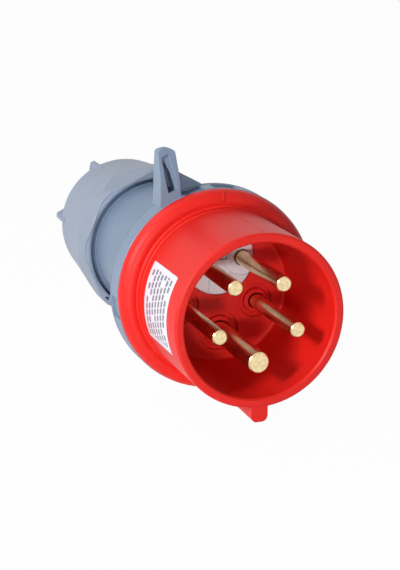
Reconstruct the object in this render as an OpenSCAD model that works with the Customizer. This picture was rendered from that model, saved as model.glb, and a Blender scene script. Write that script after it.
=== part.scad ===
// Five-pole industrial pin and sleeve plug with a phase inverter and a cable gland.
// The plug axis is +Y, pointing to the rear. The origin is the centre of the shroud's mouth,
// +Z is up with the key rib at the bottom, and all lengths are in millimetres.

/* [Shroud] */
// Outer radius of the shroud at its mouth
mouth_r = 28.4; // [28.2:0.1:28.6]
// Bore radius of the shroud at its mouth
mouth_bore_r = 25.3; // [25.1:0.1:25.5]
// Depth of the floor that the pins stand on
floor_y = 38; // [37.8:0.1:38.2]
// Thickness of that floor
floor_t = 5; // [4.8:0.1:5]
// Radius of the red flange behind the shroud
flange_r = 34.6; // [34.4:0.1:34.6]
// Position of the flange's rear face
flange_y = 41.2; // [41.1:0.1:41.4]

/* [Key rib] */
// Width of the key rib
key_w = 5.6; // [5:0.1:6]
// Distance from the axis to the top of the key rib
key_r = 33.6; // [33:0.1:33.8]

/* [Pins] */
// Radius of the circle that the five pins stand on
pin_circle_r = 13.8; // [13.7:0.1:13.9]
// Radius of the phase and neutral pins
pin_r = 2.5; // [2.4:0.05:2.5]
// Radius of the earth pin
earth_pin_r = 3.5; // [3.4:0.05:3.5]
// Depth of the pin tips behind the mouth
tip_y = 1.3; // [1:0.1:3]

/* [Phase inverter] */
// Radius of the inverter disc
disc_r = 12.4; // [12:0.1:12.5]
// Travel when the disc is pressed in
press_travel = 2.5; // [1.5:0.1:2.5]
// Running clearance on a radius
running_gap = 0.08; // [0.05:0.01:0.1]

/* [Housing] */
// Radius of the ring that grips the flange
ring_r = 34.8; // [34.7:0.1:34.9]
// Outer radius of the housing's neck
neck_r = 24.3; // [24:0.1:24.4]
// Wall thickness of the neck
neck_wall = 2.5; // [2.2:0.1:2.6]
// Position of the neck's open end
neck_end_y = 128; // [127.5:0.5:128.5]

/* [Closing lug] */
// Sideways place of the lug's middle plane
lug_x = -16; // [-16.1:0.1:-15.9]
// Height of the lug's crown above the axis
lug_top_z = 48.2; // [48:0.1:48.6]
// Width of the lug's crown
lug_w = 5.9; // [5.8:0.1:6.2]

/* [Gland nut] */
// Position of the nut's mouth at rest
nut_y = 105.6; // [105:0.1:106]
// Overall length of the nut
nut_len = 60; // [59:0.5:61]
// Radius of the nut over the corners of its flats
nut_r = 29.5; // [29.3:0.1:29.6]
// Distance from the axis to the grip flats at the mouth
flat_r = 27.7; // [27.5:0.1:28]
// Bore radius of the nut's mouth
nut_mouth_r = 26.2; // [26:0.1:26.3]
// Radius of the cable entry
entry_r = 9; // [8:0.5:9]
// Number of flats around the nut's mouth
flats = 8; // [6:1:8]
// Number of ribs around the nut's rear
ribs = 6; // [4:1:6]
// Angle of the first rib
rib_angle = 54; // [50:1:58]

/* [Hidden] */

$fn = 96;
eps = 0.01;

// Colours
red = [0.86, 0.09, 0.06];
grey = [0.50, 0.57, 0.66];
white = [0.86, 0.86, 0.86];
brass = [0.80, 0.64, 0.38];
steel = [0.70, 0.71, 0.73];
black = [0.10, 0.10, 0.11];

// Angles of the contacts around the axis, from +X towards +Z, one fifth of a turn apart
step_angle = 72;
earth_angle = 270;
phase_angle_1 = earth_angle + 2 * step_angle;
phase_angle_2 = earth_angle - 2 * step_angle;
phase_angle_3 = earth_angle + step_angle;
neutral_angle = earth_angle - step_angle;

// Shroud
root_r = mouth_r + 0.3;
flange_round = 3.7;
floor_bore_r = mouth_bore_r - 0.9;
floor_rear_y = floor_y + floor_t;
spigot_r = 30.8;
spigot_bore_r = 28.4;
spigot_end_y = 49;
hole_gap = 0.02;
collar_wall = 1.8;
collar_rise = 0.6;
moat_w = 1.6;
moat_depth = 1;
hole_mouth_gap = 0.3;
hole_mouth_depth = 2.5;
boss_angles = [234, 306];
boss_circle_r = 14;
boss_r = 3.2;
boss_end_y = 48;

// Phase inverter: the disc's centre lies half-way between the pins it carries
disc_z = pin_circle_r * sin(phase_angle_1);
disc_pin_x = pin_circle_r * cos(phase_angle_1);
disc_hole_r = disc_r + running_gap;
disc_front_y = floor_y + 0.4;
disc_rear_y = floor_rear_y + 0.3;
disc_lip_r = disc_r + 0.9;
disc_lip_end_y = disc_rear_y + 1.7;
hub_r = 4;
hub_end_y = 57;
washer_r = 5.3;
washer_t = 1.2;
spring_r = 4.75;
spring_wire_r = 0.42;
spring_turns = 5;

// Pins and their terminals
tip_chamfer = 0.4;
shank_end_y = floor_y - collar_rise - 0.2;
shank_step = 0.2;
seated_r = pin_r - shank_step;
shoulder_y = floor_rear_y + 0.1;
shoulder_t = 2.9;
barrel_y = shoulder_y + shoulder_t;
barrel_end_y = 67;
barrel_wall = 1.7;
wire_depth = 12;
wire_r = 2.1;
screw_y = 61;
screw_r = 1.6;
stub_end_y = 53;
carrier_y = 48.2;
carrier_end_y = 57;
carrier_r = 21;
contact_gap = 0.08;
contact_t = 0.9;
leaf_x = disc_pin_x + seated_r + contact_gap;
leaf_h = 5;
block_w = 5.6;
block_h = 5.2;
block_y = 58;
block_end_y = 68;
carrier_screw_r = 1.3;
carrier_head_y = carrier_end_y - 2.2;

// Housing
neck_bore_r = neck_r - neck_wall;
ring_front_y = flange_y + 0.05;
ring_bevel_y = 49.5;
ring_crest_y = 52.7;
ring_crest_r = ring_r - 1;
ring_rear_y = 54.4;
shelf_y = 51;
seat_y = 112;
seat_r = 19;
thread_r = 24;
thread_y = 110.5;
collar_r = 25.6;
collar_y = 107.5;

// Gland
nut_end_y = nut_y + nut_len;
slip_ring_y = 148.5;
slip_ring_t = 2.5;

// ---------- helpers ----------

// Points along an arc, ends included
function arc(centre, r, from, to, n = 5) =
    [for (i = [0:n]) centre + r * [cos(from + (to - from) * i / n), sin(from + (to - from) * i / n)]];

// Corner points of a box with rounded corners, centred sideways on x = 0
function rounded_bar(w, z0, z1, r) = concat(
    [[w / 2, z1], [-w / 2, z1]],
    arc([-w / 2 + r, z0 + r], r, 180, 270, 8),
    arc([w / 2 - r, z0 + r], r, 270, 360, 8)
);

// Turns a profile of [radius, position along the plug] about the plug's axis
module turned(profile) {
    rotate([-90, 0, 0]) rotate_extrude() polygon(profile);
}

// A round bar along +Y
module rod(r, y0, y1, r2 = undef) {
    translate([0, y0, 0]) rotate([-90, 0, 0])
        cylinder(r1 = r, r2 = is_undef(r2) ? r : r2, h = y1 - y0);
}

// A round tube along +Y
module tube(r, bore_r, y0, y1) {
    difference() {
        rod(r, y0, y1);
        rod(bore_r, y0 - 1, y1 + 1);
    }
}

// An outline drawn in X and Z, extruded along +Y
module prism(y0, y1) {
    translate([0, y1, 0]) rotate([90, 0, 0]) linear_extrude(y1 - y0) children();
}

// Moves its children out from the axis, at an angle from +X towards +Z
module on_circle(angle, r = pin_circle_r) {
    translate([r * cos(angle), 0, r * sin(angle)]) children();
}

// Turns its children about the plug's axis
module at_angle(angle) {
    rotate([0, -angle, 0]) children();
}

// ---------- shroud ----------

shroud_profile = concat(
    [[0, floor_y]],
    arc([floor_bore_r - 1, floor_y - 1], 1, 90, 0, 4),
    [[mouth_bore_r, 0.7], [mouth_bore_r + 0.5, 0]],
    arc([mouth_r - 0.9, 0.9], 0.9, -90, 0, 4),
    [[root_r, 34.4], [root_r + 0.25, 34.7]],
    arc([root_r + 0.95, 36.3], 0.7, 180, 90, 4),
    arc([flange_r - flange_round, 40.5], flange_round, -100, 0, 9),
    [[flange_r, flange_y], [spigot_r, flange_y], [spigot_r, spigot_end_y]],
    [[spigot_bore_r, spigot_end_y], [spigot_bore_r, floor_rear_y], [0, floor_rear_y]]
);

// Rib that lets the plug enter a socket one way round, with its foot and nose rounded
module key_rib() {
    corner = key_w / 2 - 0.2;
    intersection() {
        prism(0.3, floor_y) polygon(rounded_bar(key_w, -key_r, -mouth_r + 1, corner));
        turned(concat(
            [[mouth_r - 2, 0.3]],
            arc([key_r - 1, 1.3], 1, -90, 0, 4),
            [[key_r, floor_y], [mouth_r - 2, floor_y]]
        ));
    }
}

// Ring-shaped moat in the floor around a pin, with a raised collar inside it
module pin_moat(r) {
    tube(r + collar_wall + moat_w, r + collar_wall, floor_y - 1, floor_y + moat_depth);
}

module pin_collar(r) {
    rod(r + collar_wall - 0.3, floor_y - collar_rise, floor_y - collar_rise + 0.3, r + collar_wall);
    rod(r + collar_wall, floor_y - collar_rise + 0.3, floor_y + moat_depth);
}

// Passage for a pin, wider at its mouth
module pin_passage(r) {
    rod(r - shank_step + hole_gap, floor_y - 2, floor_rear_y + 1);
    rod(r + hole_mouth_gap, floor_y - 2, floor_y + hole_mouth_depth);
}

module fixed_places(angles) {
    for (angle = angles) on_circle(angle) children();
}

module shroud() {
    pole_angles = [phase_angle_3, neutral_angle];
    color(red) difference() {
        union() {
            difference() {
                union() {
                    turned(shroud_profile);
                    key_rib();
                }
                fixed_places(pole_angles) pin_moat(pin_r);
                fixed_places([earth_angle]) pin_moat(earth_pin_r);
            }
            fixed_places(pole_angles) pin_collar(pin_r);
            fixed_places([earth_angle]) pin_collar(earth_pin_r);
            for (angle = boss_angles) on_circle(angle, boss_circle_r)
                rod(boss_r, floor_rear_y - eps, boss_end_y);
        }
        fixed_places(pole_angles) pin_passage(pin_r);
        fixed_places([earth_angle]) pin_passage(earth_pin_r);
        translate([0, 0, disc_z]) rod(disc_hole_r, floor_y - 2, floor_rear_y + 1);
        for (angle = boss_angles) on_circle(angle, boss_circle_r)
            rod(carrier_screw_r, floor_rear_y - 1, boss_end_y + 1);
    }
}

// ---------- phase inverter ----------

// Fine groove down one side of the disc's middle bar, from the pin's moat to the disc's edge
module disc_groove(side, up) {
    groove_w = 0.5;
    groove_x = 3.7;
    groove_z0 = 4.4;
    groove_z1 = disc_r - 2.4;
    groove_depth = 0.7;
    for (span = [[groove_z0, groove_z1], [disc_r - 1.6, disc_r]])
        translate([side * groove_x - groove_w / 2, disc_front_y - 1, up > 0 ? span[0] : -span[1]])
            cube([groove_w, 1 + groove_depth, span[1] - span[0]]);
}

module inverter_disc() {
    boss_wall = 1.75;
    moat_r = 6.3;
    seat_gap = 0.4;
    driver_slot = [6.4, 2.6, 1.2];
    color(white) translate([0, 0, disc_z]) difference() {
        union() {
            rod(disc_r - 0.4, disc_front_y, disc_front_y + 0.4, disc_r);
            rod(disc_r, disc_front_y + 0.4, disc_rear_y);
            rod(disc_lip_r, disc_rear_y, disc_lip_end_y);
            rod(hub_r, disc_lip_end_y - eps, hub_end_y);
        }
        for (side = [-1, 1]) translate([side * disc_pin_x, 0, 0]) {
            tube(moat_r, pin_r + boss_wall, disc_front_y - 1, disc_front_y + 0.6);
            rod(seated_r + hole_gap, disc_front_y - 1, disc_lip_end_y + 1);
            rod(pin_r + seat_gap, disc_front_y - 1, disc_front_y + 2.6);
        }
        for (side = [-1, 1], up = [-1, 1]) disc_groove(side, up);
        translate([-driver_slot[0] / 2, disc_front_y - 1, -driver_slot[2] / 2]) cube(driver_slot);
    }
}

module inverter_washer() {
    color(steel) translate([0, 0, disc_z])
        tube(washer_r, hub_r + running_gap, disc_lip_end_y + 0.1, disc_lip_end_y + 0.1 + washer_t);
}

// Compression spring, with each turn drawn as a ring and a thin sleeve joining the rings
module inverter_spring() {
    spring_y0 = disc_lip_end_y + washer_t + 0.3;
    spring_y1 = carrier_y + 3.9;
    pitch = (spring_y1 - spring_y0 - 2 * spring_wire_r) / (spring_turns - 1);
    color(steel) translate([0, 0, disc_z]) {
        tube(spring_r + 0.12, spring_r - 0.12, spring_y0 + spring_wire_r, spring_y1 - spring_wire_r);
        for (i = [0:spring_turns - 1])
            translate([0, spring_y0 + spring_wire_r + i * pitch, 0]) rotate([-90, 0, 0])
                rotate_extrude() translate([spring_r, 0]) circle(r = spring_wire_r, $fn = 16);
    }
}

// ---------- pins, contacts and terminal screws ----------

// Pin that turns with the disc: a turned rod, slightly thinner from the disc to its wiping stub
module phase_pin_moving(side) {
    color(brass) translate([side * disc_pin_x, 0, disc_z]) {
        rod(pin_r - tip_chamfer, tip_y, tip_y + tip_chamfer, pin_r);
        rod(pin_r, tip_y + tip_chamfer, shank_end_y);
        rod(seated_r, shank_end_y - eps, stub_end_y);
    }
}

module phase_pin_1() { phase_pin_moving(1); }
module phase_pin_2() { phase_pin_moving(-1); }

// Pin and wire terminal turned from one bar, drilled for the conductor and for its screw
module fixed_pin(angle, r) {
    barrel_r = r + barrel_wall;
    shoulder_r = r + 1.1;
    conductor_r = wire_r * r / pin_r;
    color(brass) on_circle(angle) difference() {
        turned([
            [0, tip_y], [r - tip_chamfer, tip_y], [r, tip_y + tip_chamfer],
            [r, shank_end_y], [r - shank_step, shank_end_y], [r - shank_step, shoulder_y],
            [shoulder_r, shoulder_y], [shoulder_r, barrel_y - 1],
            [barrel_r, barrel_y], [barrel_r, barrel_end_y - 0.5], [barrel_r - 0.5, barrel_end_y],
            [0, barrel_end_y]
        ]);
        rod(conductor_r, barrel_end_y - wire_depth, barrel_end_y + 1);
        translate([0, screw_y, 0]) at_angle(angle) rotate([0, 90, 0])
            cylinder(r = screw_r + hole_gap, h = barrel_r + 1, $fn = 48);
    }
}

module phase_pin_3() { fixed_pin(phase_angle_3, pin_r); }
module neutral_pin() { fixed_pin(neutral_angle, pin_r); }
module earth_pin() { fixed_pin(earth_angle, earth_pin_r); }

// Slotted grub screw that clamps a conductor, pointing at the bore from outside
module grub_screw(inner, outer) {
    slot_w = 0.6;
    slot_depth = 0.9;
    difference() {
        translate([inner, 0, 0]) rotate([0, 90, 0]) cylinder(r = screw_r, h = outer - inner, $fn = 48);
        translate([outer - slot_depth, -slot_w / 2, -screw_r - 1])
            cube([slot_depth + 1, slot_w, 2 * screw_r + 2]);
    }
}

module terminal_screw(angle, r) {
    color(steel) on_circle(angle) translate([0, screw_y, 0]) at_angle(angle)
        grub_screw(wire_r * r / pin_r - 0.6, r + barrel_wall + 0.4);
}

module phase_screw_3() { terminal_screw(phase_angle_3, pin_r); }
module neutral_screw() { terminal_screw(neutral_angle, pin_r); }
module earth_screw() { terminal_screw(earth_angle, earth_pin_r); }

// Fixed contact: a leaf that wipes the outer side of a moving pin's stub, with a terminal block
module phase_contact(side) {
    leaf_y = disc_lip_end_y + press_travel + 0.6;
    color(brass) difference() {
        union() {
            translate([side > 0 ? leaf_x : -leaf_x - contact_t, leaf_y, disc_z - leaf_h / 2])
                cube([contact_t, block_end_y - leaf_y, leaf_h]);
            translate([side > 0 ? leaf_x : -leaf_x - block_w, block_y, disc_z - block_h / 2])
                cube([block_w, block_end_y - block_y, block_h]);
        }
        translate([side * (leaf_x + block_w / 2), 0, disc_z]) {
            rod(wire_r, block_end_y - wire_depth + 3, block_end_y + 1);
            translate([0, screw_y + 1.5, 0])
                cylinder(r = screw_r + hole_gap, h = block_w, $fn = 48);
        }
    }
}

module phase_contact_1() { phase_contact(1); }
module phase_contact_2() { phase_contact(-1); }

module block_screw(side) {
    color(steel) translate([side * (leaf_x + block_w / 2), screw_y + 1.5, disc_z])
        rotate([0, -90, 0]) grub_screw(wire_r - 0.6, block_h / 2 + 0.4);
}

module phase_screw_1() { block_screw(1); }
module phase_screw_2() { block_screw(-1); }

// ---------- pin carrier ----------

// Moulded plate that holds the terminals from behind and guides the inverter's hub
module pin_carrier() {
    fit = 0.06;
    leaf_slot = [contact_t + 2 * fit, 40, leaf_h + 2 * fit];
    sweep_r = leaf_x - 0.02;
    head_recess_r = 2.8;
    color(grey) difference() {
        union() {
            rod(carrier_r, carrier_y + 3, carrier_end_y);
            for (angle = boss_angles) on_circle(angle, boss_circle_r)
                rod(boss_r, carrier_y - 0.1, carrier_y + 4);
        }
        for (angle = [phase_angle_3, neutral_angle]) on_circle(angle)
            rod(pin_r + barrel_wall + fit, carrier_y - 1, carrier_end_y + 1);
        on_circle(earth_angle) rod(earth_pin_r + barrel_wall + fit, carrier_y - 1, carrier_end_y + 1);
        translate([0, 0, disc_z]) {
            // well in which the stubs of the moving pins sweep round, with the spring on its inner post
            difference() {
                rod(sweep_r, carrier_y - 1, carrier_y + 3 + press_travel + 2);
                rod(washer_r, carrier_y + 4, carrier_end_y);
            }
            rod(hub_r + running_gap, carrier_y - 1, carrier_end_y + 5);
        }
        for (side = [-1, 1]) translate([side * (leaf_x + contact_t / 2), carrier_end_y, disc_z])
            cube(leaf_slot, center = true);
        for (angle = boss_angles) on_circle(angle, boss_circle_r) {
            rod(carrier_screw_r + 0.3, carrier_y - 1, carrier_end_y + 1);
            rod(head_recess_r, carrier_head_y, carrier_end_y + 1);
        }
    }
}

module carrier_screw(angle) {
    head_r = 2.6;
    head_t = 1.6;
    slot = [0.7, 2, 6];
    color(steel) on_circle(angle, boss_circle_r) difference() {
        union() {
            rod(carrier_screw_r - hole_gap, floor_rear_y + 0.3, carrier_head_y + eps);
            rod(head_r, carrier_head_y, carrier_head_y + head_t);
        }
        translate([-slot[0] / 2, carrier_head_y + head_t / 2, -slot[2] / 2]) cube(slot);
    }
}

module carrier_screw_left() { carrier_screw(boss_angles[0]); }
module carrier_screw_right() { carrier_screw(boss_angles[1]); }

// ---------- housing ----------

housing_profile = concat(
    [[spigot_r + 0.3, ring_front_y], [ring_r - 0.3, ring_front_y], [ring_r, ring_front_y + 0.3]],
    [[ring_r, ring_bevel_y], [ring_crest_r, ring_crest_y]],
    arc([ring_crest_r + ring_crest_y - ring_rear_y, ring_crest_y], ring_rear_y - ring_crest_y, 15, 90, 3),
    arc([neck_r + 4.5, ring_rear_y + 3.6], 3.6, 270, 180, 6),
    [[neck_r + 0.5, 64], [neck_r, collar_y - 1], [collar_r - 0.4, collar_y], [collar_r, collar_y + 0.4]],
    [[collar_r, thread_y - 0.4], [collar_r - 0.4, thread_y], [thread_r, thread_y]],
    [[thread_r, neck_end_y - 0.8], [thread_r - 0.8, neck_end_y]],
    [[seat_r, neck_end_y], [seat_r, seat_y], [entry_r + 3, seat_y], [entry_r + 3, seat_y - 3]],
    [[neck_bore_r - 2, seat_y - 3], [neck_bore_r, seat_y - 6], [neck_bore_r, shelf_y + 4]],
    [[neck_bore_r + 4, shelf_y], [spigot_r + 0.3, shelf_y]]
);

// Front outline of the closing lug, with near-upright sides and a crowned top
module lug_outline() {
    crown_drop = 0.5;
    corner = 1.4;
    top = lug_top_z - crown_drop;
    polygon(concat(
        [[lug_x - lug_w / 2 - 0.5, 28], [lug_x + lug_w / 2 + 1.3, 28], [lug_x + lug_w / 2 + 0.5, 40]],
        arc([lug_x + lug_w / 2 - corner, top - corner], corner, 4, 80, 4),
        [[lug_x, lug_top_z]],
        arc([lug_x - lug_w / 2 + corner, top - corner], corner, 100, 178, 4)
    ));
}

// Side outline of the lug in Y and Z: a sloping lead-in at the front and an upright catch behind
module lug_side() {
    polygon(concat(
        [[50.6, 28], [ring_front_y + 0.8, 28], [ring_front_y + 0.8, 31.5], [42.4, 37.5]],
        arc([47.4, lug_top_z - 1.7], 1.7, 170, 90, 4),
        arc([49, lug_top_z - 1], 1, 90, 0, 3)
    ));
}

// Recess in the lug's sloping face, with a deep blade-shaped slot down its left side
module lug_pocket() {
    recess = [[-1.9, -2.9], [0.4, -1.9], [2, -8.3], [2.6, -13.4], [-0.5, -14.4], [-1.4, -10.3]];
    slot = [[-1.9, -2.9], [-1.3, -4.1], [0.6, -7.7], [2, -13.5], [-0.5, -14.4], [-1.4, -10.3]];
    recess_side = [[36, 30], [42.4, 30], [43.4, 37.5], [47.2, 49], [36, 49]];
    slot_side = [[36, 30], [49, 30], [49, 41], [48, 46], [36, 49]];
    for (cut = [[recess, recess_side], [slot, slot_side]]) intersection() {
        translate([lug_x, 0, lug_top_z]) prism(36, 52) polygon(cut[0]);
        translate([lug_x - lug_w, 0, 0]) rotate([90, 0, 90]) linear_extrude(2 * lug_w) polygon(cut[1]);
    }
}

module closing_lug() {
    intersection() {
        prism(36, 56) lug_outline();
        translate([lug_x - lug_w, 0, 0]) rotate([90, 0, 90]) linear_extrude(2 * lug_w) lug_side();
    }
}

// Buttress that props the lug along the ring
module lug_buttress() {
    prism(48.2, 50.6) polygon([
        [lug_x, 31], [lug_x, 41], [lug_x + lug_w / 2 + 0.6, 40.4], [-3, 35], [-3, 31]
    ]);
}

// Shallow recess in the ring's rim between two angles
module ring_recess(from, to) {
    depth = 0.8;
    mid = (from + to) / 2;
    half = (to - from) / 2;
    reach = ring_r + 4;
    at_angle(mid) intersection() {
        tube(ring_r + 1, ring_r - depth, ring_front_y - 1, 47.8);
        prism(ring_front_y - 1, 47.8)
            polygon([[0, 0], [reach, -reach * tan(half)], [reach, reach * tan(half)]]);
    }
}

module housing() {
    recess_spans = [[97, 108.5], [76, 90.5], [181, 193], [-14, -2]];
    color(grey) difference() {
        union() {
            difference() {
                turned(housing_profile);
                for (span = recess_spans) ring_recess(span[0], span[1]);
            }
            difference() {
                union() {
                    closing_lug();
                    lug_buttress();
                }
                rod(spigot_r + 0.8, 30, 60);
            }
        }
        lug_pocket();
    }
}

module housing_gasket() {
    color(black) tube(spigot_r - 0.3, spigot_bore_r + 0.2, spigot_end_y + 0.05, shelf_y - 0.05);
}

// ---------- cable gland ----------

// Rubber sleeve that closes on the cable
module gland_seal() {
    color(black) turned([
        [entry_r + 0.5, seat_y + 0.1], [seat_r - 0.4, seat_y + 0.1], [seat_r - 0.4, seat_y + 10],
        [seat_r - 2.5, seat_y + 12], [entry_r + 2.5, seat_y + 12], [entry_r + 0.5, seat_y + 9]
    ]);
}

// Clamping ring with a crown of springy fingers that the slip ring presses together
module clamp_claws() {
    claws = 10;
    slit_w = 1.6;
    root_y = seat_y + 12.1;
    root_t = 2.4;
    claws_end_y = slip_ring_y - 3.6;
    root_bore_r = entry_r + 2;
    crown_bore_r = seat_r - 3.2;
    end_bore_r = seat_r - 6.6;
    color(white) difference() {
        turned([
            [root_bore_r, root_y], [seat_r - 0.6, root_y], [seat_r - 0.6, root_y + 1.6],
            [seat_r - 3.4, claws_end_y - 0.6], [seat_r - 4, claws_end_y], [end_bore_r, claws_end_y],
            [crown_bore_r, root_y + root_t + 1], [crown_bore_r, root_y + root_t], [root_bore_r, root_y + root_t]
        ]);
        for (i = [0:claws - 1]) at_angle(i * 360 / claws)
            translate([entry_r, root_y + root_t, -slit_w / 2]) cube([seat_r, claws_end_y - root_y, slit_w]);
    }
}

// Washer that the nut turns against while it presses the claws
module slip_ring() {
    color(white) turned([
        [entry_r + 1, slip_ring_y], [seat_r, slip_ring_y], [seat_r, slip_ring_y + slip_ring_t],
        [entry_r + 1, slip_ring_y + slip_ring_t]
    ]);
}

// Outline of the nut: corners of the flats, a body that tapers, a domed rear and the inside
dome_y = 150;
dome_r = 26.3;
nose_r = 13;
guide_r = seat_r + 1.6;
guide_y = slip_ring_y - 1.5;
guide_rear_y = slip_ring_y + slip_ring_t + 0.1;
nut_profile = concat(
    [[nut_mouth_r, nut_y + 0.4], [nut_mouth_r + 0.4, nut_y], [flat_r - 0.2, nut_y]],
    [[nut_r - 0.7, nut_y + 0.7], [nut_r, nut_y + 2], [nut_r, 113], [nut_r - 0.9, 120], [nut_r - 1.7, 130]],
    [[nut_r - 2.6, 140]],
    [for (i = [0:8]) let (a = i * 10.5)
        [nose_r + (dome_r - nose_r) * cos(a), dome_y + (nut_end_y - 0.6 - dome_y) * sin(a)]],
    [[nose_r - 0.8, nut_end_y], [entry_r + 0.6, nut_end_y], [entry_r, nut_end_y - 0.6]],
    [[entry_r, nut_end_y - 6], [entry_r + 4, nut_end_y - 12]],
    [[entry_r + 4, guide_rear_y], [seat_r + running_gap, guide_rear_y], [seat_r + running_gap, guide_y]],
    [[guide_r, guide_y], [guide_r, guide_rear_y + 5], [guide_r + 1.8, guide_rear_y + 5]],
    [[thread_r - 0.6, dome_y], [thread_r - 0.2, neck_end_y + 6], [thread_r + running_gap, neck_end_y + 4.5]],
    [[thread_r + running_gap, nut_y + 10.5], [nut_mouth_r, nut_y + 9]]
);

// Envelope that the ribs rise to, from the body at the front to a crest on the dome
rib_crest_y = 161;
rib_crest_r = 26.6;
rib_root_r = dome_r - 1.9;
rib_envelope = [
    [rib_root_r, 141], [dome_r - 0.4, 141], [dome_r + 0.7, 146], [rib_crest_r, rib_crest_y - 0.6],
    [rib_crest_r - 0.4, rib_crest_y + 0.4], [18, nut_end_y - 0.6],
    [17, guide_rear_y + 7], [rib_root_r - 2, guide_rear_y + 5.5], [rib_root_r, dome_y + 1]
];

// Section of one rib, a wedge with a rounded crest, standing along +X
module rib_outline() {
    base_half = 2.4;
    crest = 0.7;
    polygon(concat(
        [[17, -base_half], [dome_r - 3, -base_half]],
        arc([rib_crest_r - 0.1, 0], crest, -60, 60, 4),
        [[dome_r - 3, base_half], [17, base_half]]
    ));
}

// Flats that lean out, so that they run out into the round body
module grip_flats() {
    lean = 3.6;
    for (i = [0:flats - 1]) at_angle((i + 0.5) * 360 / flats)
        translate([flat_r, nut_y, 0]) rotate([0, 0, -lean])
            translate([0, -5, -20]) cube([20, 60, 40]);
}

module gland_nut() {
    rim_hole_r = 0.9;
    rim_hole_angle = 223;
    rim_hole_place = [28, 0, 0];
    color(grey) difference() {
        union() {
            difference() {
                turned(nut_profile);
                grip_flats();
            }
            intersection() {
                turned(rib_envelope);
                for (i = [0:ribs - 1]) at_angle(rib_angle + i * 360 / ribs)
                    prism(140, nut_end_y) rib_outline();
            }
        }
        at_angle(rim_hole_angle) translate(rim_hole_place) rod(rim_hole_r, nut_y - 1, nut_y + 4);
    }
}

shroud();
inverter_disc();
inverter_washer();
inverter_spring();
phase_pin_1();
phase_pin_2();
phase_pin_3();
neutral_pin();
earth_pin();
phase_contact_1();
phase_contact_2();
phase_screw_1();
phase_screw_2();
phase_screw_3();
neutral_screw();
earth_screw();
pin_carrier();
carrier_screw_left();
carrier_screw_right();
housing();
housing_gasket();
gland_seal();
clamp_claws();
slip_ring();
gland_nut();
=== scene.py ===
"""Five-pole industrial plug: finishes, label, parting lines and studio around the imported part."""

import math

import bmesh
import bpy
from mathutils import Matrix, Vector


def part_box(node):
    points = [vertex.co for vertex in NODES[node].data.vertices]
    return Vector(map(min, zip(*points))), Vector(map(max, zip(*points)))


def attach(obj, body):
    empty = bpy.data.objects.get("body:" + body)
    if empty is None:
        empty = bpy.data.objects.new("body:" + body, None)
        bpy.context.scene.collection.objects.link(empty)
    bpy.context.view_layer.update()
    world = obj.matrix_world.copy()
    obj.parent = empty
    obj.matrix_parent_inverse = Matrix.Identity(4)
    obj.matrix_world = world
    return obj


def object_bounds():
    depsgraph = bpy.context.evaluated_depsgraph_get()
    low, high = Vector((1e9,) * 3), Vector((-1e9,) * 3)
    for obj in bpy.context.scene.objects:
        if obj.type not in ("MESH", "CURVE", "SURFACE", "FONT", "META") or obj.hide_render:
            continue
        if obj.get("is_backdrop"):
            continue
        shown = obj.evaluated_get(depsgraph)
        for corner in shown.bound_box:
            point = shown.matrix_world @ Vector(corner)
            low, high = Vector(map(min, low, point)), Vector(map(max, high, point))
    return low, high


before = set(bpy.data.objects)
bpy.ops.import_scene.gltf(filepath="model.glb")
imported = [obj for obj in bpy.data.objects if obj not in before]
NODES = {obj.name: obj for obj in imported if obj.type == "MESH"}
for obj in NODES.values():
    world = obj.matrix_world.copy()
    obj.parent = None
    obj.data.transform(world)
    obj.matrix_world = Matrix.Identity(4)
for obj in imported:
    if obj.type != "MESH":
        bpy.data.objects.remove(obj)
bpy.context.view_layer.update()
PLUG_BODY = "plug_body"
NUT_BODY = "gland"

bl_info = {
    "name": "Pin and Sleeve Plug",
    "version": (1, 0, 0),
    "blender": (4, 5, 0),
    "location": "View3D > Sidebar > Plug",
    "description": "Finishes, label, parting lines and studio for a five-pole industrial plug",
    "category": "Object",
}

MM = 0.001

# The shroud's sleeve, which widens a little towards the rear
SLEEVE_FRONT_Y = 0.0009
SLEEVE_FRONT_RADIUS = 0.0284
SLEEVE_TAPER_LENGTH = 0.0335
SLEEVE_TAPER = 0.0003

# The label's grid, the share of it that counts as its edge, and how far the film lifts and sinks
LABEL_COLUMNS = 72
LABEL_ROWS = 40
LABEL_EDGE_SHARE = 0.1
LABEL_EDGE_LIFT = 0.00004
LABEL_SUNK = 0.00003

# Parting lines: their angle round the plug in degrees, their size, and where each one runs
PARTING_ANGLE = 88
PARTING_WIDTH, PARTING_HEIGHT = 0.0008, 0.00012
SLEEVE_LINE_Y = [0.0022 + 0.0008 * i for i in range(41)]
FLANGE_ROUND_CENTRE = (0.0405, 0.0309)
FLANGE_ROUND_RADIUS = 0.0037
FLANGE_ROUND_START = -88
FLANGE_LINE_END = (0.0411, 0.0346)

# The line round the housing's ring: a fine ridge in paler grey, a painted highlight on its edge
RING_CREST_Y = 0.0494
RING_LINE_WIDTH, RING_LINE_HEIGHT = 0.0007, 0.00025

# The gland nut's rim: how far in from the nut's greatest radius its flats and corners lie,
# how far back the corners lie, and the size and depth of the rounding
NUT_FLAT_INSET = 1.8 * MM
NUT_CORNER_INSET = 0.7 * MM
NUT_CORNER_DEPTH = 0.7 * MM
NUT_SLOPE_START = 0.2 * MM
NUT_RIM_RADIUS, NUT_RIM_DEPTH = 0.0007, 0.00052

# Radii of the pins in millimetres
PIN_RADIUS = 2.5
EARTH_PIN_RADIUS = 3.5

# Colours of wear and print; the dull brass also paints shade at the rims of the pin tips
RED_DUST = (0.95, 0.55, 0.5)
FACED_BRASS = (0.97, 0.79, 0.47)
DULL_BRASS = (0.5, 0.33, 0.13)
BRASS_STAIN = (0.28, 0.17, 0.08)
RUBBER_BLOOM = (0.12, 0.12, 0.125)
LABEL_INK = (0.07, 0.08, 0.11)
LABEL_RULE = (0.14, 0.13, 0.15)

# A Mix node's sockets for colours: the two that go in and the one that comes out
MIX_COLORS = (6, 7)
MIX_RESULT = 2

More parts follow.
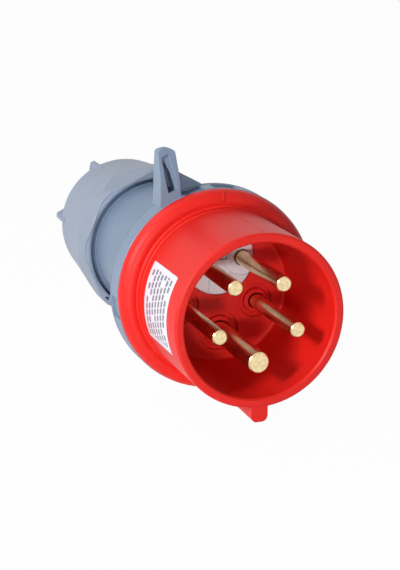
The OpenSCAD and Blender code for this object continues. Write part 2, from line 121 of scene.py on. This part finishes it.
# Studio: the point that the lamps face, each lamp's setting, place and size, and the floor
LAMP_TARGET = (0.0, 0.045, 0.0)
LAMPS = (
    ("key_lamp", "key", (-0.739, -0.315, 0.366), 0.2),
    ("fill_lamp", "fill", (-0.29, -0.80, 0.0), 0.09),
    ("top_lamp", "top", (-0.45, 0.25, 0.7), 0.5),
)
FLOOR_REACH = 6.0
FLOOR_GAP = 0.0002

RED_NODES = ("shroud",)
GREY_NODES = ("housing", "pin_carrier")
NUT_NODES = ("gland_nut",)
WHITE_NODES = ("inverter_disc", "clamp_claws", "slip_ring")
PIN_NODES = ("phase_pin_1", "phase_pin_2", "phase_pin_3", "neutral_pin", "earth_pin")
CONTACT_NODES = ("phase_contact_1", "phase_contact_2")
STEEL_NODES = (
    "inverter_washer",
    "inverter_spring",
    "phase_screw_1",
    "phase_screw_2",
    "phase_screw_3",
    "neutral_screw",
    "earth_screw",
    "carrier_screw_left",
    "carrier_screw_right",
)
RUBBER_NODES = ("housing_gasket", "gland_seal")


# ---------- shader helpers ----------


class Value:
    """A number socket. Python arithmetic on it adds Math nodes to the tree that it belongs to."""

    def __init__(self, nodes, socket):
        self.nodes = nodes
        self.socket = socket

    def __add__(self, other):
        return self.nodes.math("ADD", self, other)

    __radd__ = __add__

    def __sub__(self, other):
        return self.nodes.math("SUBTRACT", self, other)

    def __rsub__(self, other):
        return self.nodes.math("SUBTRACT", other, self)

    def __mul__(self, other):
        return self.nodes.math("MULTIPLY", self, other)

    __rmul__ = __mul__

    def __truediv__(self, other):
        return self.nodes.math("DIVIDE", self, other)

    def __rtruediv__(self, other):
        return self.nodes.math("DIVIDE", other, self)

    def floor(self):
        return self.nodes.math("FLOOR", self)

    def fraction(self):
        return self.nodes.math("FRACT", self)

    def size(self):
        return self.nodes.math("ABSOLUTE", self)

    def root(self):
        return self.nodes.math("SQRT", self)

    def above(self, limit):
        return self.nodes.math("GREATER_THAN", self, limit)

    def below(self, limit):
        return self.nodes.math("LESS_THAN", self, limit)

    def ramp(self, low, high):
        """0 below low and 1 above high, with a smooth rise between."""
        node = self.nodes.add(
            "ShaderNodeMapRange",
            {"interpolation_type": "SMOOTHSTEP"},
            {"Value": self, "From Min": low, "From Max": high},
        )
        return Value(self.nodes, node.outputs["Result"])


class Nodes:
    """The node tree of a material or of the surroundings, under construction."""

    def __init__(self, owner):
        owner.use_nodes = True
        self.tree = owner.node_tree
        self.tree.nodes.clear()

    def add(self, kind, settings=None, values=None):
        """A node of any kind: its settings first, then the values or links of its sockets."""
        node = self.tree.nodes.new(kind)
        for key, value in (settings or {}).items():
            setattr(node, key, value)
        for key, value in (values or {}).items():
            self.set(node.inputs[key], value)
        return node

    def set(self, socket, value):
        """Links a socket to a value's socket, or gives it a plain value."""
        if isinstance(value, Value):
            value = value.socket
        if isinstance(value, bpy.types.NodeSocket):
            self.tree.links.new(value, socket)
        else:
            socket.default_value = value

    def math(self, operation, *terms):
        node = self.add("ShaderNodeMath", {"operation": operation}, dict(enumerate(terms)))
        return Value(self, node.outputs[0])


class Finish(Nodes):
    """A material under construction, around one Principled shader."""

    def __init__(self, name, color, metallic=0.0, coat=0.0, specular=0.5):
        self.material = bpy.data.materials.new(name)
        super().__init__(self.material)
        self.output = self.add("ShaderNodeOutputMaterial")
        self.shader = self.add(
            "ShaderNodeBsdfPrincipled",
            values={"Metallic": metallic, "Coat Weight": coat, "Specular IOR Level": specular},
        )
        self.shader.inputs["Base Color"].default_value = (*color, 1)
        self.material.diffuse_color = (*color, 1)
        self.tree.links.new(self.shader.outputs[0], self.output.inputs["Surface"])

    def feed(self, **sources):
        """Feeds the shader's sockets; an underscore in a name stands for a space."""
        for name, source in sources.items():
            self.set(self.shader.inputs[name.replace("_", " ")], source)

    def place(self, stretch=(1, 1, 1)):
        """The point on the object in millimetres, stretched along each axis."""
        coordinate = self.add("ShaderNodeTexCoord")
        node = self.add(
            "ShaderNodeVectorMath",
            {"operation": "MULTIPLY"},
            {0: coordinate.outputs["Object"], 1: tuple(s / MM for s in stretch)},
        )
        return node.outputs[0]

    def axes(self):
        """The point's x, y and z in millimetres, as numbers."""
        node = self.add("ShaderNodeSeparateXYZ", values={0: self.place()})
        return [Value(self, out) for out in node.outputs]

    def noise(self, per_mm, stretch=(1, 1, 1), detail=3.0, roughness=0.55):
        """Cloudy values between 0 and 1, with about per_mm patches in a millimetre."""
        node = self.add(
            "ShaderNodeTexNoise",
            values={
                "Vector": self.place(stretch),
                "Scale": per_mm,
                "Detail": detail,
                "Roughness": roughness,
            },
        )
        return Value(self, node.outputs["Fac"])

    def scratches(self, per_mm, stretch, width=0.02):
        """Thin lines where a stretched noise crosses its middle value."""
        return (self.noise(per_mm, stretch, detail=1.0) - 0.5).size().ramp(width, 0.0)

    def tint(self, factor, first, second):
        """A colour between two others. Each may be a triple or a socket."""
        ends = {
            key: (*color, 1) if isinstance(color, (tuple, list)) else color
            for key, color in zip(MIX_COLORS, (first, second))
        }
        node = self.add("ShaderNodeMix", {"data_type": "RGBA"}, {0: factor, **ends})
        return node.outputs[MIX_RESULT]

    def relief(self, height, depth_mm, edge_mm=0.0):
        """Bump from a height of 0 to 1 that stands for depth_mm, over edges rounded by edge_mm."""
        values = {"Height": height, "Distance": depth_mm * MM, "Strength": 1.0}
        if edge_mm:
            edge = self.add("ShaderNodeBevel", {"samples": 6}, {"Radius": edge_mm * MM})
            values["Normal"] = edge.outputs[0]
        node = self.add("ShaderNodeBump", values=values)
        self.feed(Normal=node.outputs[0])


def shade(color, amount):
    """A colour made darker (amount under 1) or lighter, kept in range."""
    return tuple(min(1.0, c * amount) for c in color)


def finish_nodes(names, material):
    """Gives a material to CAD nodes."""
    for name in names:
        mesh = NODES[name].data
        mesh.materials.clear()
        mesh.materials.append(material)


# ---------- finishes ----------


def red_moulding(colors):
    """Satin red thermoplastic with faint flow marks, fine scuffs and a little dust."""
    finish = Finish("red_moulding", colors.red, specular=0.36)
    red = tuple(colors.red)
    flow = finish.noise(0.05, (1, 0.35, 1), detail=4.0)
    mottle = finish.noise(0.9, detail=5.0)
    scuffs = finish.scratches(0.5, (1, 4, 1), 0.006) * finish.noise(0.11).ramp(0.5, 0.62)
    dust = finish.noise(7.0, detail=1.0).ramp(0.76, 0.82)
    base = finish.tint(flow.ramp(0.3, 0.7), shade(red, 0.9), red)
    base = finish.tint(mottle.ramp(0.35, 0.75) * 0.3, base, shade(red, 0.8))
    base = finish.tint(dust * 0.25 + scuffs * 0.12, base, RED_DUST)
    gloss = 0.42 + flow * 0.1 + scuffs * 0.1 + dust * 0.15
    grain = finish.noise(11.0, detail=2.0)
    finish.feed(Base_Color=base, Roughness=gloss)
    finish.relief(grain * 0.6 + mottle * 0.4, 0.009, 0.35)
    return finish.material


def grey_moulding(name, color, gloss, edge):
    """Satin blue-grey thermoplastic with a fine spark-eroded grain and handling marks."""
    finish = Finish(name, color)
    grey = tuple(color)
    flow = finish.noise(0.04, (1, 0.4, 1), detail=4.0)
    mottle = finish.noise(0.7, detail=5.0)
    rubs = finish.noise(0.16, (1, 2.5, 1), detail=5.0, roughness=0.7).ramp(0.56, 0.72)
    scuffs = finish.scratches(0.4, (5, 1, 1), 0.005) * rubs
    base = finish.tint(flow.ramp(0.3, 0.7), shade(grey, 0.93), shade(grey, 1.03))
    base = finish.tint(mottle.ramp(0.4, 0.75) * 0.25, base, shade(grey, 0.82))
    base = finish.tint(rubs * 0.12 + scuffs * 0.4, base, shade(grey, 1.35))
    grain = finish.noise(5.5, detail=3.0, roughness=0.6)
    finish.feed(Base_Color=base, Roughness=gloss - rubs * 0.1 + flow * 0.08)
    finish.relief(grain, 0.014, edge)
    return finish.material


def white_moulding(colors):
    """Off-white moulding, slightly translucent looking, with grey rub marks."""
    finish = Finish("white_moulding", colors.white)
    white = tuple(colors.white)
    cloud = finish.noise(0.12, detail=4.0)
    rubs = finish.noise(0.5, (1, 1, 2.5), detail=5.0, roughness=0.7).ramp(0.58, 0.74)
    base = finish.tint(cloud.ramp(0.3, 0.7), shade(white, 0.94), white)
    base = finish.tint(rubs * 0.3, base, shade(white, 0.7))
    finish.feed(Base_Color=base, Roughness=0.4 + cloud * 0.12)
    finish.relief(finish.noise(6.0), 0.008, 0.1)
    return finish.material


def turned_brass(name, colors, centre=None, radius=PIN_RADIUS, tip_depth=0.0):
    """Turned brass: fine rings along the bar, facing marks round the tip, light tarnish."""
    finish = Finish(name, colors.brass, metallic=1.0)
    brass = tuple(colors.brass)
    rings = finish.noise(1.0, (0.12, 9.0, 0.12), detail=2.0)
    tarnish = finish.noise(0.3, (1, 0.3, 1), detail=5.0, roughness=0.65)
    stains = finish.noise(1.1, detail=4.0).ramp(0.6, 0.75)
    base = finish.tint(tarnish.ramp(0.35, 0.7), brass, shade(brass, 0.72))
    base = finish.tint(stains * 0.4, base, BRASS_STAIN)
    height = rings
    if centre is not None:
        x, y, z = finish.axes()
        faced = y.below(tip_depth / MM + 0.1)
        patches = finish.noise(0.9, detail=4.0, roughness=0.65).ramp(0.42, 0.62)
        base = finish.tint(faced * 0.85, base, FACED_BRASS)
        across, up = x - centre[0] / MM, z - centre[1] / MM
        distance = (across * across + up * up).root()
        facing = (distance * 2.6 + finish.noise(0.9) * 1.4).fraction()
        marks = facing * distance.below(radius - 0.3) * faced
        # Painted shade: each tip's face is darkened towards its rim
        edge = distance.ramp(radius - 0.9, radius - 0.1)
        # Dull brass over random worn patches and facing marks, and over the painted rim shade
        wear_and_rim_shade = faced * (patches * 0.3 + edge * 0.35) + marks * 0.12
        base = finish.tint(wear_and_rim_shade, base, DULL_BRASS)
        height = rings * 0.4 + marks * 0.6
    finish.feed(Base_Color=base, Roughness=0.17 + tarnish * 0.1 + stains * 0.1)
    finish.relief(height, 0.008, 0.15)
    return finish.material


def plated_steel(colors):
    """Zinc-plated steel with a faint spangle."""
    finish = Finish("plated_steel", colors.steel, metallic=1.0)
    steel = tuple(colors.steel)
    spangle = finish.noise(2.2, detail=3.0)
    base = finish.tint(spangle.ramp(0.35, 0.7), shade(steel, 0.8), steel)
    finish.feed(Base_Color=base, Roughness=0.28 + spangle * 0.15)
    finish.relief(finish.noise(8.0), 0.004, 0.08)
    return finish.material


def black_rubber(colors):
    """Matt moulded rubber with a bloom of dust."""
    finish = Finish("black_rubber", colors.rubber)
    rubber = tuple(colors.rubber)
    bloom = finish.noise(0.4, detail=5.0, roughness=0.7)
    base = finish.tint(bloom.ramp(0.45, 0.8) * 0.5, rubber, RUBBER_BLOOM)
    finish.feed(Base_Color=base, Roughness=0.6 + bloom * 0.2)
    finish.relief(finish.noise(4.0), 0.02, 0.1)
    return finish.material


def printed_film(label, colors):
    """White label film with rows of plain bars, a thin printed border and clear edges."""
    finish = Finish("printed_film", colors.paper, coat=0.3)
    paper = tuple(colors.paper)
    uv = finish.add("ShaderNodeTexCoord").outputs["UV"]
    split = finish.add("ShaderNodeSeparateXYZ", values={0: uv})
    along, across = Value(finish, split.outputs[0]), Value(finish, split.outputs[1])
    margin = label.margin
    bar_half_height, bar_half_length, row_shift, bare_share = 0.29, 0.42, 0.37, 0.14
    rule_place, rule_half_width = 0.012, 0.009
    inside_row = ((across - margin) / (1 - 2 * margin)) * label.rows
    row = inside_row.floor()
    stroke = (inside_row.fraction() - 0.5).size().below(bar_half_height)
    cell_pos = (along - margin) / (1 - 2 * margin) * label.bars + row * row_shift
    picks = finish.add("ShaderNodeCombineXYZ", values={0: cell_pos.floor(), 1: row})
    dice = finish.add(
        "ShaderNodeTexWhiteNoise", {"noise_dimensions": "2D"}, {"Vector": picks.outputs[0]}
    )
    present = Value(finish, dice.outputs["Value"]).above(bare_share)
    gap = (cell_pos.fraction() - 0.5).size().below(bar_half_length)
    field = (along - 0.5).size().below(0.5 - margin) * (across - 0.5).size().below(0.5 - margin)
    ink = stroke * present * gap * field
    rule = (along - rule_place).size().below(rule_half_width)
    fade = finish.noise(2.5, detail=2.0).ramp(0.25, 0.6)
    cloud = finish.noise(0.3, detail=3.0)
    base = finish.tint(cloud.ramp(0.3, 0.7), shade(paper, 0.94), paper)
    base = finish.tint(ink * (0.5 + fade * 0.45), base, LABEL_INK)
    base = finish.tint(rule * 0.75, base, LABEL_RULE)
    finish.feed(Base_Color=base, Roughness=0.38 + cloud * 0.1)
    finish.relief(finish.noise(1.2) * 0.6 + ink * 0.4, 0.01)
    return finish.material


# ---------- pieces ----------


def new_piece(name, mesh, material, body):
    """Puts a mesh in the scene as a piece that rides on a body."""
    piece = bpy.data.objects.new(name, mesh)
    bpy.context.scene.collection.objects.link(piece)
    mesh.materials.append(material)
    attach(piece, body)
    return piece


def shroud_radius(y):
    """Outer radius of the shroud's sleeve at a depth, in metres."""
    share = min(max((y - SLEEVE_FRONT_Y) / SLEEVE_TAPER_LENGTH, 0.0), 1.0)
    return SLEEVE_FRONT_RADIUS + SLEEVE_TAPER * share


def edge_share(offset):
    """0 over the label's middle, rising to 1 at its edge, from an offset of up to a half."""
    return max(0.0, abs(offset) * 2 - (1 - LABEL_EDGE_SHARE)) / LABEL_EDGE_SHARE


def label_point(label, u, v, outer):
    """A point of the film's outer or inner side, at shares u round and v along the sleeve."""
    start, end = math.radians(label.start_angle), math.radians(label.end_angle)
    middle, half = (start + end) / 2, (end - start) * 0.5
    corner = edge_share(v - 0.5)
    trim = label.corner * (1 - math.sqrt(max(0.0, 1 - corner * corner)))
    reach = half * (1 - trim / label.length)
    turn = middle + (end + (start - end) * u - middle) * reach / half
    y = label.front + (label.rear - label.front) * v
    radius = shroud_radius(y)
    if outer:
        lift = LABEL_EDGE_LIFT * edge_share(max(abs(u - 0.5), abs(v - 0.5)))
        radius = radius + label.thickness + lift
    else:
        radius -= LABEL_SUNK
    return radius * math.cos(turn), y, radius * math.sin(turn)


def label_mesh(label):
    """A thin curved sheet on the sleeve, with rounded corners and edges that lift a little."""
    mesh = bpy.data.meshes.new("rating_label")
    bm = bmesh.new()
    uv_layer = bm.loops.layers.uv.new("film")
    columns, rows = LABEL_COLUMNS, LABEL_ROWS
    grids = [
        [
            [bm.verts.new(label_point(label, i / columns, j / rows, side)) for j in range(rows + 1)]
            for i in range(columns + 1)
        ]
        for side in (False, True)
    ]
    inner, outer = grids

    def quad(corners, uvs=None):
        face = bm.faces.new(corners)
        face.smooth = True
        if uvs:
            for loop, uv in zip(face.loops, uvs):
                loop[uv_layer].uv = uv

    for i in range(columns):
        for j in range(rows):
            spots = [(i, j), (i, j + 1), (i + 1, j + 1), (i + 1, j)]
            quad([outer[a][b] for a, b in spots], [(a / columns, b / rows) for a, b in spots])
            quad([inner[a][b] for a, b in reversed(spots)])
    for i in range(columns):
        for j in (0, rows):
            quad([inner[i][j], inner[i + 1][j], outer[i + 1][j], outer[i][j]])
    for j in range(rows):
        for i in (0, columns):
            quad([inner[i][j], inner[i][j + 1], outer[i][j + 1], outer[i][j]])
    bmesh.ops.recalc_face_normals(bm, faces=bm.faces)
    bm.to_mesh(mesh)
    bm.free()
    return mesh


def bead_mesh(name, path, section, closed=False):
    """One section of (across, up) points swept along (point, outward direction) pairs."""
    mesh = bpy.data.meshes.new(name)
    bm = bmesh.new()
    last = len(path) - 1
    rings = []
    for k, (spot, out) in enumerate(path):
        before = path[k - 1] if k or closed else path[0]
        after = path[(k + 1) % len(path)] if closed else path[min(k + 1, last)]
        run = (after[0] - before[0]).normalized()
        normal = (out - run * out.dot(run)).normalized()
        side = run.cross(normal)
        fade = 1.0 if closed else min(1.0, k / 2, (last - k) / 2)
        faded = [(a, u * fade if u > 0 else u) for a, u in section]
        rings.append([bm.verts.new(spot + side * a + normal * u) for a, u in faded])
    pairs = list(zip(rings, rings[1:]))
    if closed:
        pairs.append((rings[-1], rings[0]))
    else:
        for ring in (rings[0], rings[-1]):
            bm.faces.new(ring)
    for first, second in pairs:
        for s in range(len(section)):
            n = (s + 1) % len(section)
            face = bm.faces.new([first[s], first[n], second[n], second[s]])
            face.smooth = math.dist(section[s], section[n]) < 2 * math.dist(section[0], section[1])
    bmesh.ops.recalc_face_normals(bm, faces=bm.faces)
    bm.to_mesh(mesh)
    bm.free()
    return mesh


def low_ridge(width, height):
    """Section of a fine raised line, sunk a little at its sides."""
    turns = [math.pi * s / 6 for s in range(7)]
    return [(math.cos(t) * width / 2, (math.sin(t) - 0.4) * height) for t in turns]


def round_rim(radius, depth):
    """Round section whose centre lies below an edge."""
    turns = [math.tau * s / 14 for s in range(14)]
    return [(math.cos(t) * radius, math.sin(t) * radius - depth) for t in turns]


def outward(angle):
    """The direction away from the plug's axis at an angle round it."""
    return Vector((math.cos(angle), 0, math.sin(angle)))


def straight_line(points, angle):
    """A path along the plug at one angle, from (y, radius) points."""
    out = outward(angle)
    return [(out * radius + Vector((0, y, 0)), out) for y, radius in points]


def ring_crest_path():
    """The edge round the housing's ring, where its side turns to the rear slope."""
    steps, lean, crest = 240, Vector((0, 0.15, 0)), Vector((0, RING_CREST_Y, 0))
    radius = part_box("housing")[1].x
    turns = [outward(math.tau * k / steps) for k in range(steps)]
    return [(out * radius + crest, out + lean) for out in turns]


def nut_mouth_path():
    """The eight-sided edge round the gland nut's mouth, from its front face to its flats."""
    steps, lean = 320, Vector((0, 0.9, 0))
    low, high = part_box("gland_nut")
    flat, corner = high.x - NUT_FLAT_INSET, high.x - NUT_CORNER_INSET
    slope = corner - flat + NUT_SLOPE_START
    path = []
    for k in range(steps):
        angle = math.tau * k / steps
        off_flat = math.remainder(angle - math.pi / 8, math.pi / 4)
        radius = min(flat / math.cos(off_flat), corner)
        y = low.y + NUT_CORNER_DEPTH * (radius - flat + NUT_SLOPE_START) / slope
        out = outward(angle)
        path.append((out * radius + Vector((0, y, 0)), out - lean))
    return path


def arc_points(centre, radius, start, end, steps):
    """Points (y, radius) along an arc; the angle runs from the outward direction to the rear."""
    turns = [math.radians(start + (end - start) * i / steps) for i in range(steps + 1)]
    return [(centre[0] + radius * math.sin(t), centre[1] + radius * math.cos(t)) for t in turns]


# ---------- properties ----------


def color_property(name, description, default):
    return bpy.props.FloatVectorProperty(
        name=name, description=description, default=default, subtype="COLOR", min=0.0, max=1.0
    )


class PlugColors(bpy.types.PropertyGroup):
    """Base colours of the plug's materials."""

    red: color_property("Red", "Moulded shroud", (0.80, 0.0125, 0.007))
    grey: color_property("Grey", "Housing and pin carrier", (0.195, 0.265, 0.378))
    pale_grey: color_property("Pale grey", "Gland nut", (0.272, 0.325, 0.425))
    white: color_property("White", "Phase inverter disc", (0.84, 0.91, 0.97))
    brass: color_property("Brass", "Pins and contacts", (0.86, 0.65, 0.36))
    steel: color_property("Steel", "Screws, washer and spring", (0.62, 0.63, 0.66))
    rubber: color_property("Rubber", "Gasket and cable seal", (0.022, 0.022, 0.024))
    paper: color_property("Label", "Label film", (0.82, 0.81, 0.90))


class PlugLabel(bpy.types.PropertyGroup):
    """Place and print of the blank rating label on the sleeve."""

    start_angle: bpy.props.FloatProperty(
        name="Top angle", description="Angle of the label's top edge round the plug", default=149.7
    )
    end_angle: bpy.props.FloatProperty(
        name="Bottom angle", description="Angle of the label's bottom edge", default=202.0
    )
    front: bpy.props.FloatProperty(
        name="Front", description="Depth of the front edge", default=0.0082, unit="LENGTH"
    )
    rear: bpy.props.FloatProperty(
        name="Rear", description="Depth of the rear edge", default=0.0305, unit="LENGTH"
    )
    length: bpy.props.FloatProperty(
        name="Length", description="Length round the sleeve", default=0.0261, unit="LENGTH"
    )
    thickness: bpy.props.FloatProperty(
        name="Thickness", description="Thickness of the film", default=0.00012, unit="LENGTH"
    )
    corner: bpy.props.FloatProperty(
        name="Corner", description="Trim of the corners", default=0.0006, unit="LENGTH"
    )
    margin: bpy.props.FloatProperty(
        name="Margin", description="Bare share of each side", default=0.07
    )
    rows: bpy.props.IntProperty(name="Rows", description="Rows of bars", default=7)
    bars: bpy.props.IntProperty(name="Bars", description="Bars in a row", default=10)


class PlugStudio(bpy.types.PropertyGroup):
    """Lamps and surroundings."""

    key: bpy.props.FloatProperty(name="Key", description="Key light", default=5.5, unit="POWER")
    fill: bpy.props.FloatProperty(
        name="Fill", description="Small fill light from the front", default=2.6, unit="POWER"
    )
    top: bpy.props.FloatProperty(
        name="Top", description="Overhead light", default=1.4, unit="POWER"
    )
    sky: bpy.props.FloatProperty(name="Sky", description="Light from all round", default=0.17)


# ---------- operators ----------


class PLUG_OT_red_mouldings(bpy.types.Operator):
    """Gives the shroud its satin red finish."""

    bl_idname = "plug.red_mouldings"
    bl_label = "Red Mouldings"

    def execute(self, context):
        finish_nodes(RED_NODES, red_moulding(context.scene.plug_colors))
        return {"FINISHED"}


class PLUG_OT_grey_mouldings(bpy.types.Operator):
    """Gives the housing, gland nut and pin carrier their satin grey finish."""

    bl_idname = "plug.grey_mouldings"
    bl_label = "Grey Mouldings"

    def execute(self, context):
        colors = context.scene.plug_colors
        finish_nodes(GREY_NODES, grey_moulding("grey_moulding", colors.grey, 0.38, 0.35))
        nut = grey_moulding("pale_grey_moulding", colors.pale_grey, 0.4, 0.9)
        finish_nodes(NUT_NODES, nut)
        return {"FINISHED"}


class PLUG_OT_white_mouldings(bpy.types.Operator):
    """Gives the phase inverter disc and the gland's inner rings their white finish."""

    bl_idname = "plug.white_mouldings"
    bl_label = "White Mouldings"

    def execute(self, context):
        finish_nodes(WHITE_NODES, white_moulding(context.scene.plug_colors))
        return {"FINISHED"}


class PLUG_OT_brass_contacts(bpy.types.Operator):
    """Gives the pins turned brass with faced tips, and the contacts plain brass."""

    bl_idname = "plug.brass_contacts"
    bl_label = "Brass Pins and Contacts"

    def execute(self, context):
        colors = context.scene.plug_colors
        for name in PIN_NODES:
            low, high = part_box(name)
            centre = ((low.x + high.x) / 2, (low.z + high.z) / 2)
            radius = EARTH_PIN_RADIUS if name == "earth_pin" else PIN_RADIUS
            finish_nodes([name], turned_brass(f"brass_{name}", colors, centre, radius, low.y))
        finish_nodes(CONTACT_NODES, turned_brass("brass_contacts", colors))
        return {"FINISHED"}


class PLUG_OT_hardware(bpy.types.Operator):
    """Gives the screws, washer and spring zinc plating, and the seals black rubber."""

    bl_idname = "plug.hardware"
    bl_label = "Hardware and Seals"

    def execute(self, context):
        finish_nodes(STEEL_NODES, plated_steel(context.scene.plug_colors))
        finish_nodes(RUBBER_NODES, black_rubber(context.scene.plug_colors))
        return {"FINISHED"}


class PLUG_OT_parting_lines(bpy.types.Operator):
    """Adds the fine mould parting lines along the top of the sleeve and the flange."""

    bl_idname = "plug.parting_lines"
    bl_label = "Parting Lines"

    def execute(self, context):
        material = bpy.data.materials.get("red_moulding")
        if material is None:
            raise RuntimeError("run the red mouldings first: the parting lines share their finish")
        angle = math.radians(PARTING_ANGLE)
        ridge = low_ridge(PARTING_WIDTH, PARTING_HEIGHT)
        sleeve = [(y, shroud_radius(y)) for y in SLEEVE_LINE_Y]
        flange = arc_points(FLANGE_ROUND_CENTRE, FLANGE_ROUND_RADIUS, FLANGE_ROUND_START, 0, 12)
        flange.append(FLANGE_LINE_END)
        for name, points in (("sleeve_parting_line", sleeve), ("flange_parting_line", flange)):
            mesh = bead_mesh(name, straight_line(points, angle), ridge)
            new_piece(name, mesh, material, PLUG_BODY)
        return {"FINISHED"}


class PLUG_OT_nut_rim_and_ring_highlight(bpy.types.Operator):
    """Adds a painted highlight round the housing's ring and the rounded rim of the nut's mouth."""

    bl_idname = "plug.moulded_rims"
    bl_label = "Moulded Rims"

    def execute(self, context):
        pale_grey = bpy.data.materials.get("pale_grey_moulding")
        if pale_grey is None:
            raise RuntimeError("run the grey mouldings first: the rims share their pale finish")
        # The ring's ridge takes the nut's paler grey: a painted highlight along the housing's edge
        line = low_ridge(RING_LINE_WIDTH, RING_LINE_HEIGHT)
        crest = bead_mesh("ring_edge_line", ring_crest_path(), line, closed=True)
        new_piece("ring_edge_line", crest, pale_grey, PLUG_BODY)
        rim = round_rim(NUT_RIM_RADIUS, NUT_RIM_DEPTH)
        mouth = bead_mesh("nut_mouth_rim", nut_mouth_path(), rim, closed=True)
        new_piece("nut_mouth_rim", mouth, pale_grey, NUT_BODY)
        return {"FINISHED"}


class PLUG_OT_rating_label(bpy.types.Operator):
    """Sticks a plain label with rows of bars on the sleeve's left side."""

    bl_idname = "plug.rating_label"
    bl_label = "Rating Label"

    def execute(self, context):
        label = context.scene.plug_label
        film = printed_film(label, context.scene.plug_colors)
        new_piece("rating_label", label_mesh(label), film, PLUG_BODY)
        return {"FINISHED"}


def soft_lamp(name, place, size, power):
    """A round area lamp that faces the plug."""
    data = bpy.data.lights.new(name, "AREA")
    data.shape, data.size, data.energy = "DISK", size, power
    lamp = bpy.data.objects.new(name, data)
    lamp.location = place
    lamp.rotation_euler = (Vector(LAMP_TARGET) - Vector(place)).to_track_quat("-Z", "Y").to_euler()
    bpy.context.scene.collection.objects.link(lamp)


def seen_white(nodes, strength=1.0):
    """1 for the rays that look at a surface directly, in a reflection or through glass."""
    path = nodes.add("ShaderNodeLightPath")
    kinds = ("Camera", "Glossy", "Transmission")
    camera, glossy, through = (Value(nodes, path.outputs[f"Is {kind} Ray"]) for kind in kinds)
    return nodes.math("MINIMUM", camera + glossy + through, 1.0) * strength


class PLUG_OT_studio(bpy.types.Operator):
    """Sets the floor, the white surroundings, the soft lamps and the camera."""

    bl_idname = "plug.studio"
    bl_label = "Studio"

    def execute(self, context):
        scene, studio = context.scene, context.scene.plug_studio
        self.floor(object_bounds()[0].z)
        self.surroundings(scene, studio)
        for name, setting, place, size in LAMPS:
            soft_lamp(name, place, size, getattr(studio, setting))
        self.camera(scene)
        scene.view_settings.view_transform = "Standard"
        return {"FINISHED"}

    def floor(self, height):
        mesh = bpy.data.meshes.new("floor")
        reach, level = FLOOR_REACH, height - FLOOR_GAP
        corners = [(-reach, -reach), (reach, -reach), (reach, reach), (-reach, reach)]
        mesh.from_pydata([(x, y, level) for x, y in corners], [], [(0, 1, 2, 3)])
        floor = bpy.data.objects.new("floor", mesh)
        bpy.context.scene.collection.objects.link(floor)
        finish = Finish("pale_floor", (0.86, 0.86, 0.87))
        finish.shader.inputs["Roughness"].default_value = 0.9
        glow = finish.add("ShaderNodeEmission", values={"Color": (1, 1, 1, 1), "Strength": 1.0})
        blend = finish.add(
            "ShaderNodeMixShader",
            values={0: seen_white(finish, 0.97), 1: finish.shader.outputs[0], 2: glow.outputs[0]},
        )
        finish.tree.links.new(blend.outputs[0], finish.output.inputs["Surface"])
        mesh.materials.append(finish.material)
        floor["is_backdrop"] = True

    def surroundings(self, scene, studio):
        world = bpy.data.worlds.new("white_room")
        scene.world = world
        room = Nodes(world)
        level = seen_white(room) * (1 - studio.sky) + studio.sky
        glow = room.add("ShaderNodeBackground", values={"Color": (1, 1, 1, 1), "Strength": level})
        room.add("ShaderNodeOutputWorld", values={0: glow.outputs[0]})

    def camera(self, scene):
        data = bpy.data.cameras.new("camera")
        camera = bpy.data.objects.new("camera", data)
        scene.collection.objects.link(camera)
        right = Vector((0.94320, -0.33218, 0.00488))
        up = Vector((0.08536, 0.25652, 0.96276))
        forward = Vector((0.32106, 0.90767, -0.27030))
        pose = Matrix((right, up, -forward)).transposed().to_4x4()
        pose.translation = Vector((-0.15147, -0.36899, 0.12054))
        camera.matrix_world = pose
        data.sensor_fit = "VERTICAL"
        data.sensor_height = 36.0
        data.lens = 84.43
        data.shift_x = 0.0031
        data.shift_y = 0.0177
        data.clip_start, data.clip_end = 0.01, 50.0
        scene.camera = camera


PIECE_OPERATORS = (
    PLUG_OT_red_mouldings,
    PLUG_OT_grey_mouldings,
    PLUG_OT_white_mouldings,
    PLUG_OT_brass_contacts,
    PLUG_OT_hardware,
    PLUG_OT_parting_lines,
    PLUG_OT_nut_rim_and_ring_highlight,
    PLUG_OT_rating_label,
    PLUG_OT_studio,
)


class PLUG_PT_sidebar(bpy.types.Panel):
    """Lists the plug's pieces and their settings."""

    bl_idname = "PLUG_PT_sidebar"
    bl_label = "Pin and Sleeve Plug"
    bl_space_type = "VIEW_3D"
    bl_region_type = "UI"
    bl_category = "Plug"

    def draw(self, context):
        scene = context.scene
        for group in (scene.plug_colors, scene.plug_label, scene.plug_studio):
            box = self.layout.box()
            for name in group.__annotations__:
                box.prop(group, name)
        for operator in PIECE_OPERATORS:
            self.layout.operator(operator.bl_idname)


CLASSES = (PlugColors, PlugLabel, PlugStudio, *PIECE_OPERATORS, PLUG_PT_sidebar)
GROUPS = (("plug_colors", PlugColors), ("plug_label", PlugLabel), ("plug_studio", PlugStudio))


def register():
    for cls in CLASSES:
        bpy.utils.register_class(cls)
    for name, group in GROUPS:
        setattr(bpy.types.Scene, name, bpy.props.PointerProperty(type=group))


def unregister():
    for name, _ in GROUPS:
        delattr(bpy.types.Scene, name)
    for cls in reversed(CLASSES):
        bpy.utils.unregister_class(cls)


def main():
    register()
    for operator in PIECE_OPERATORS:
        group, action = operator.bl_idname.split(".")
        if getattr(getattr(bpy.ops, group), action)() != {"FINISHED"}:
            raise RuntimeError(f"{operator.bl_label} did not finish")


if __name__ == "__main__":
    main()
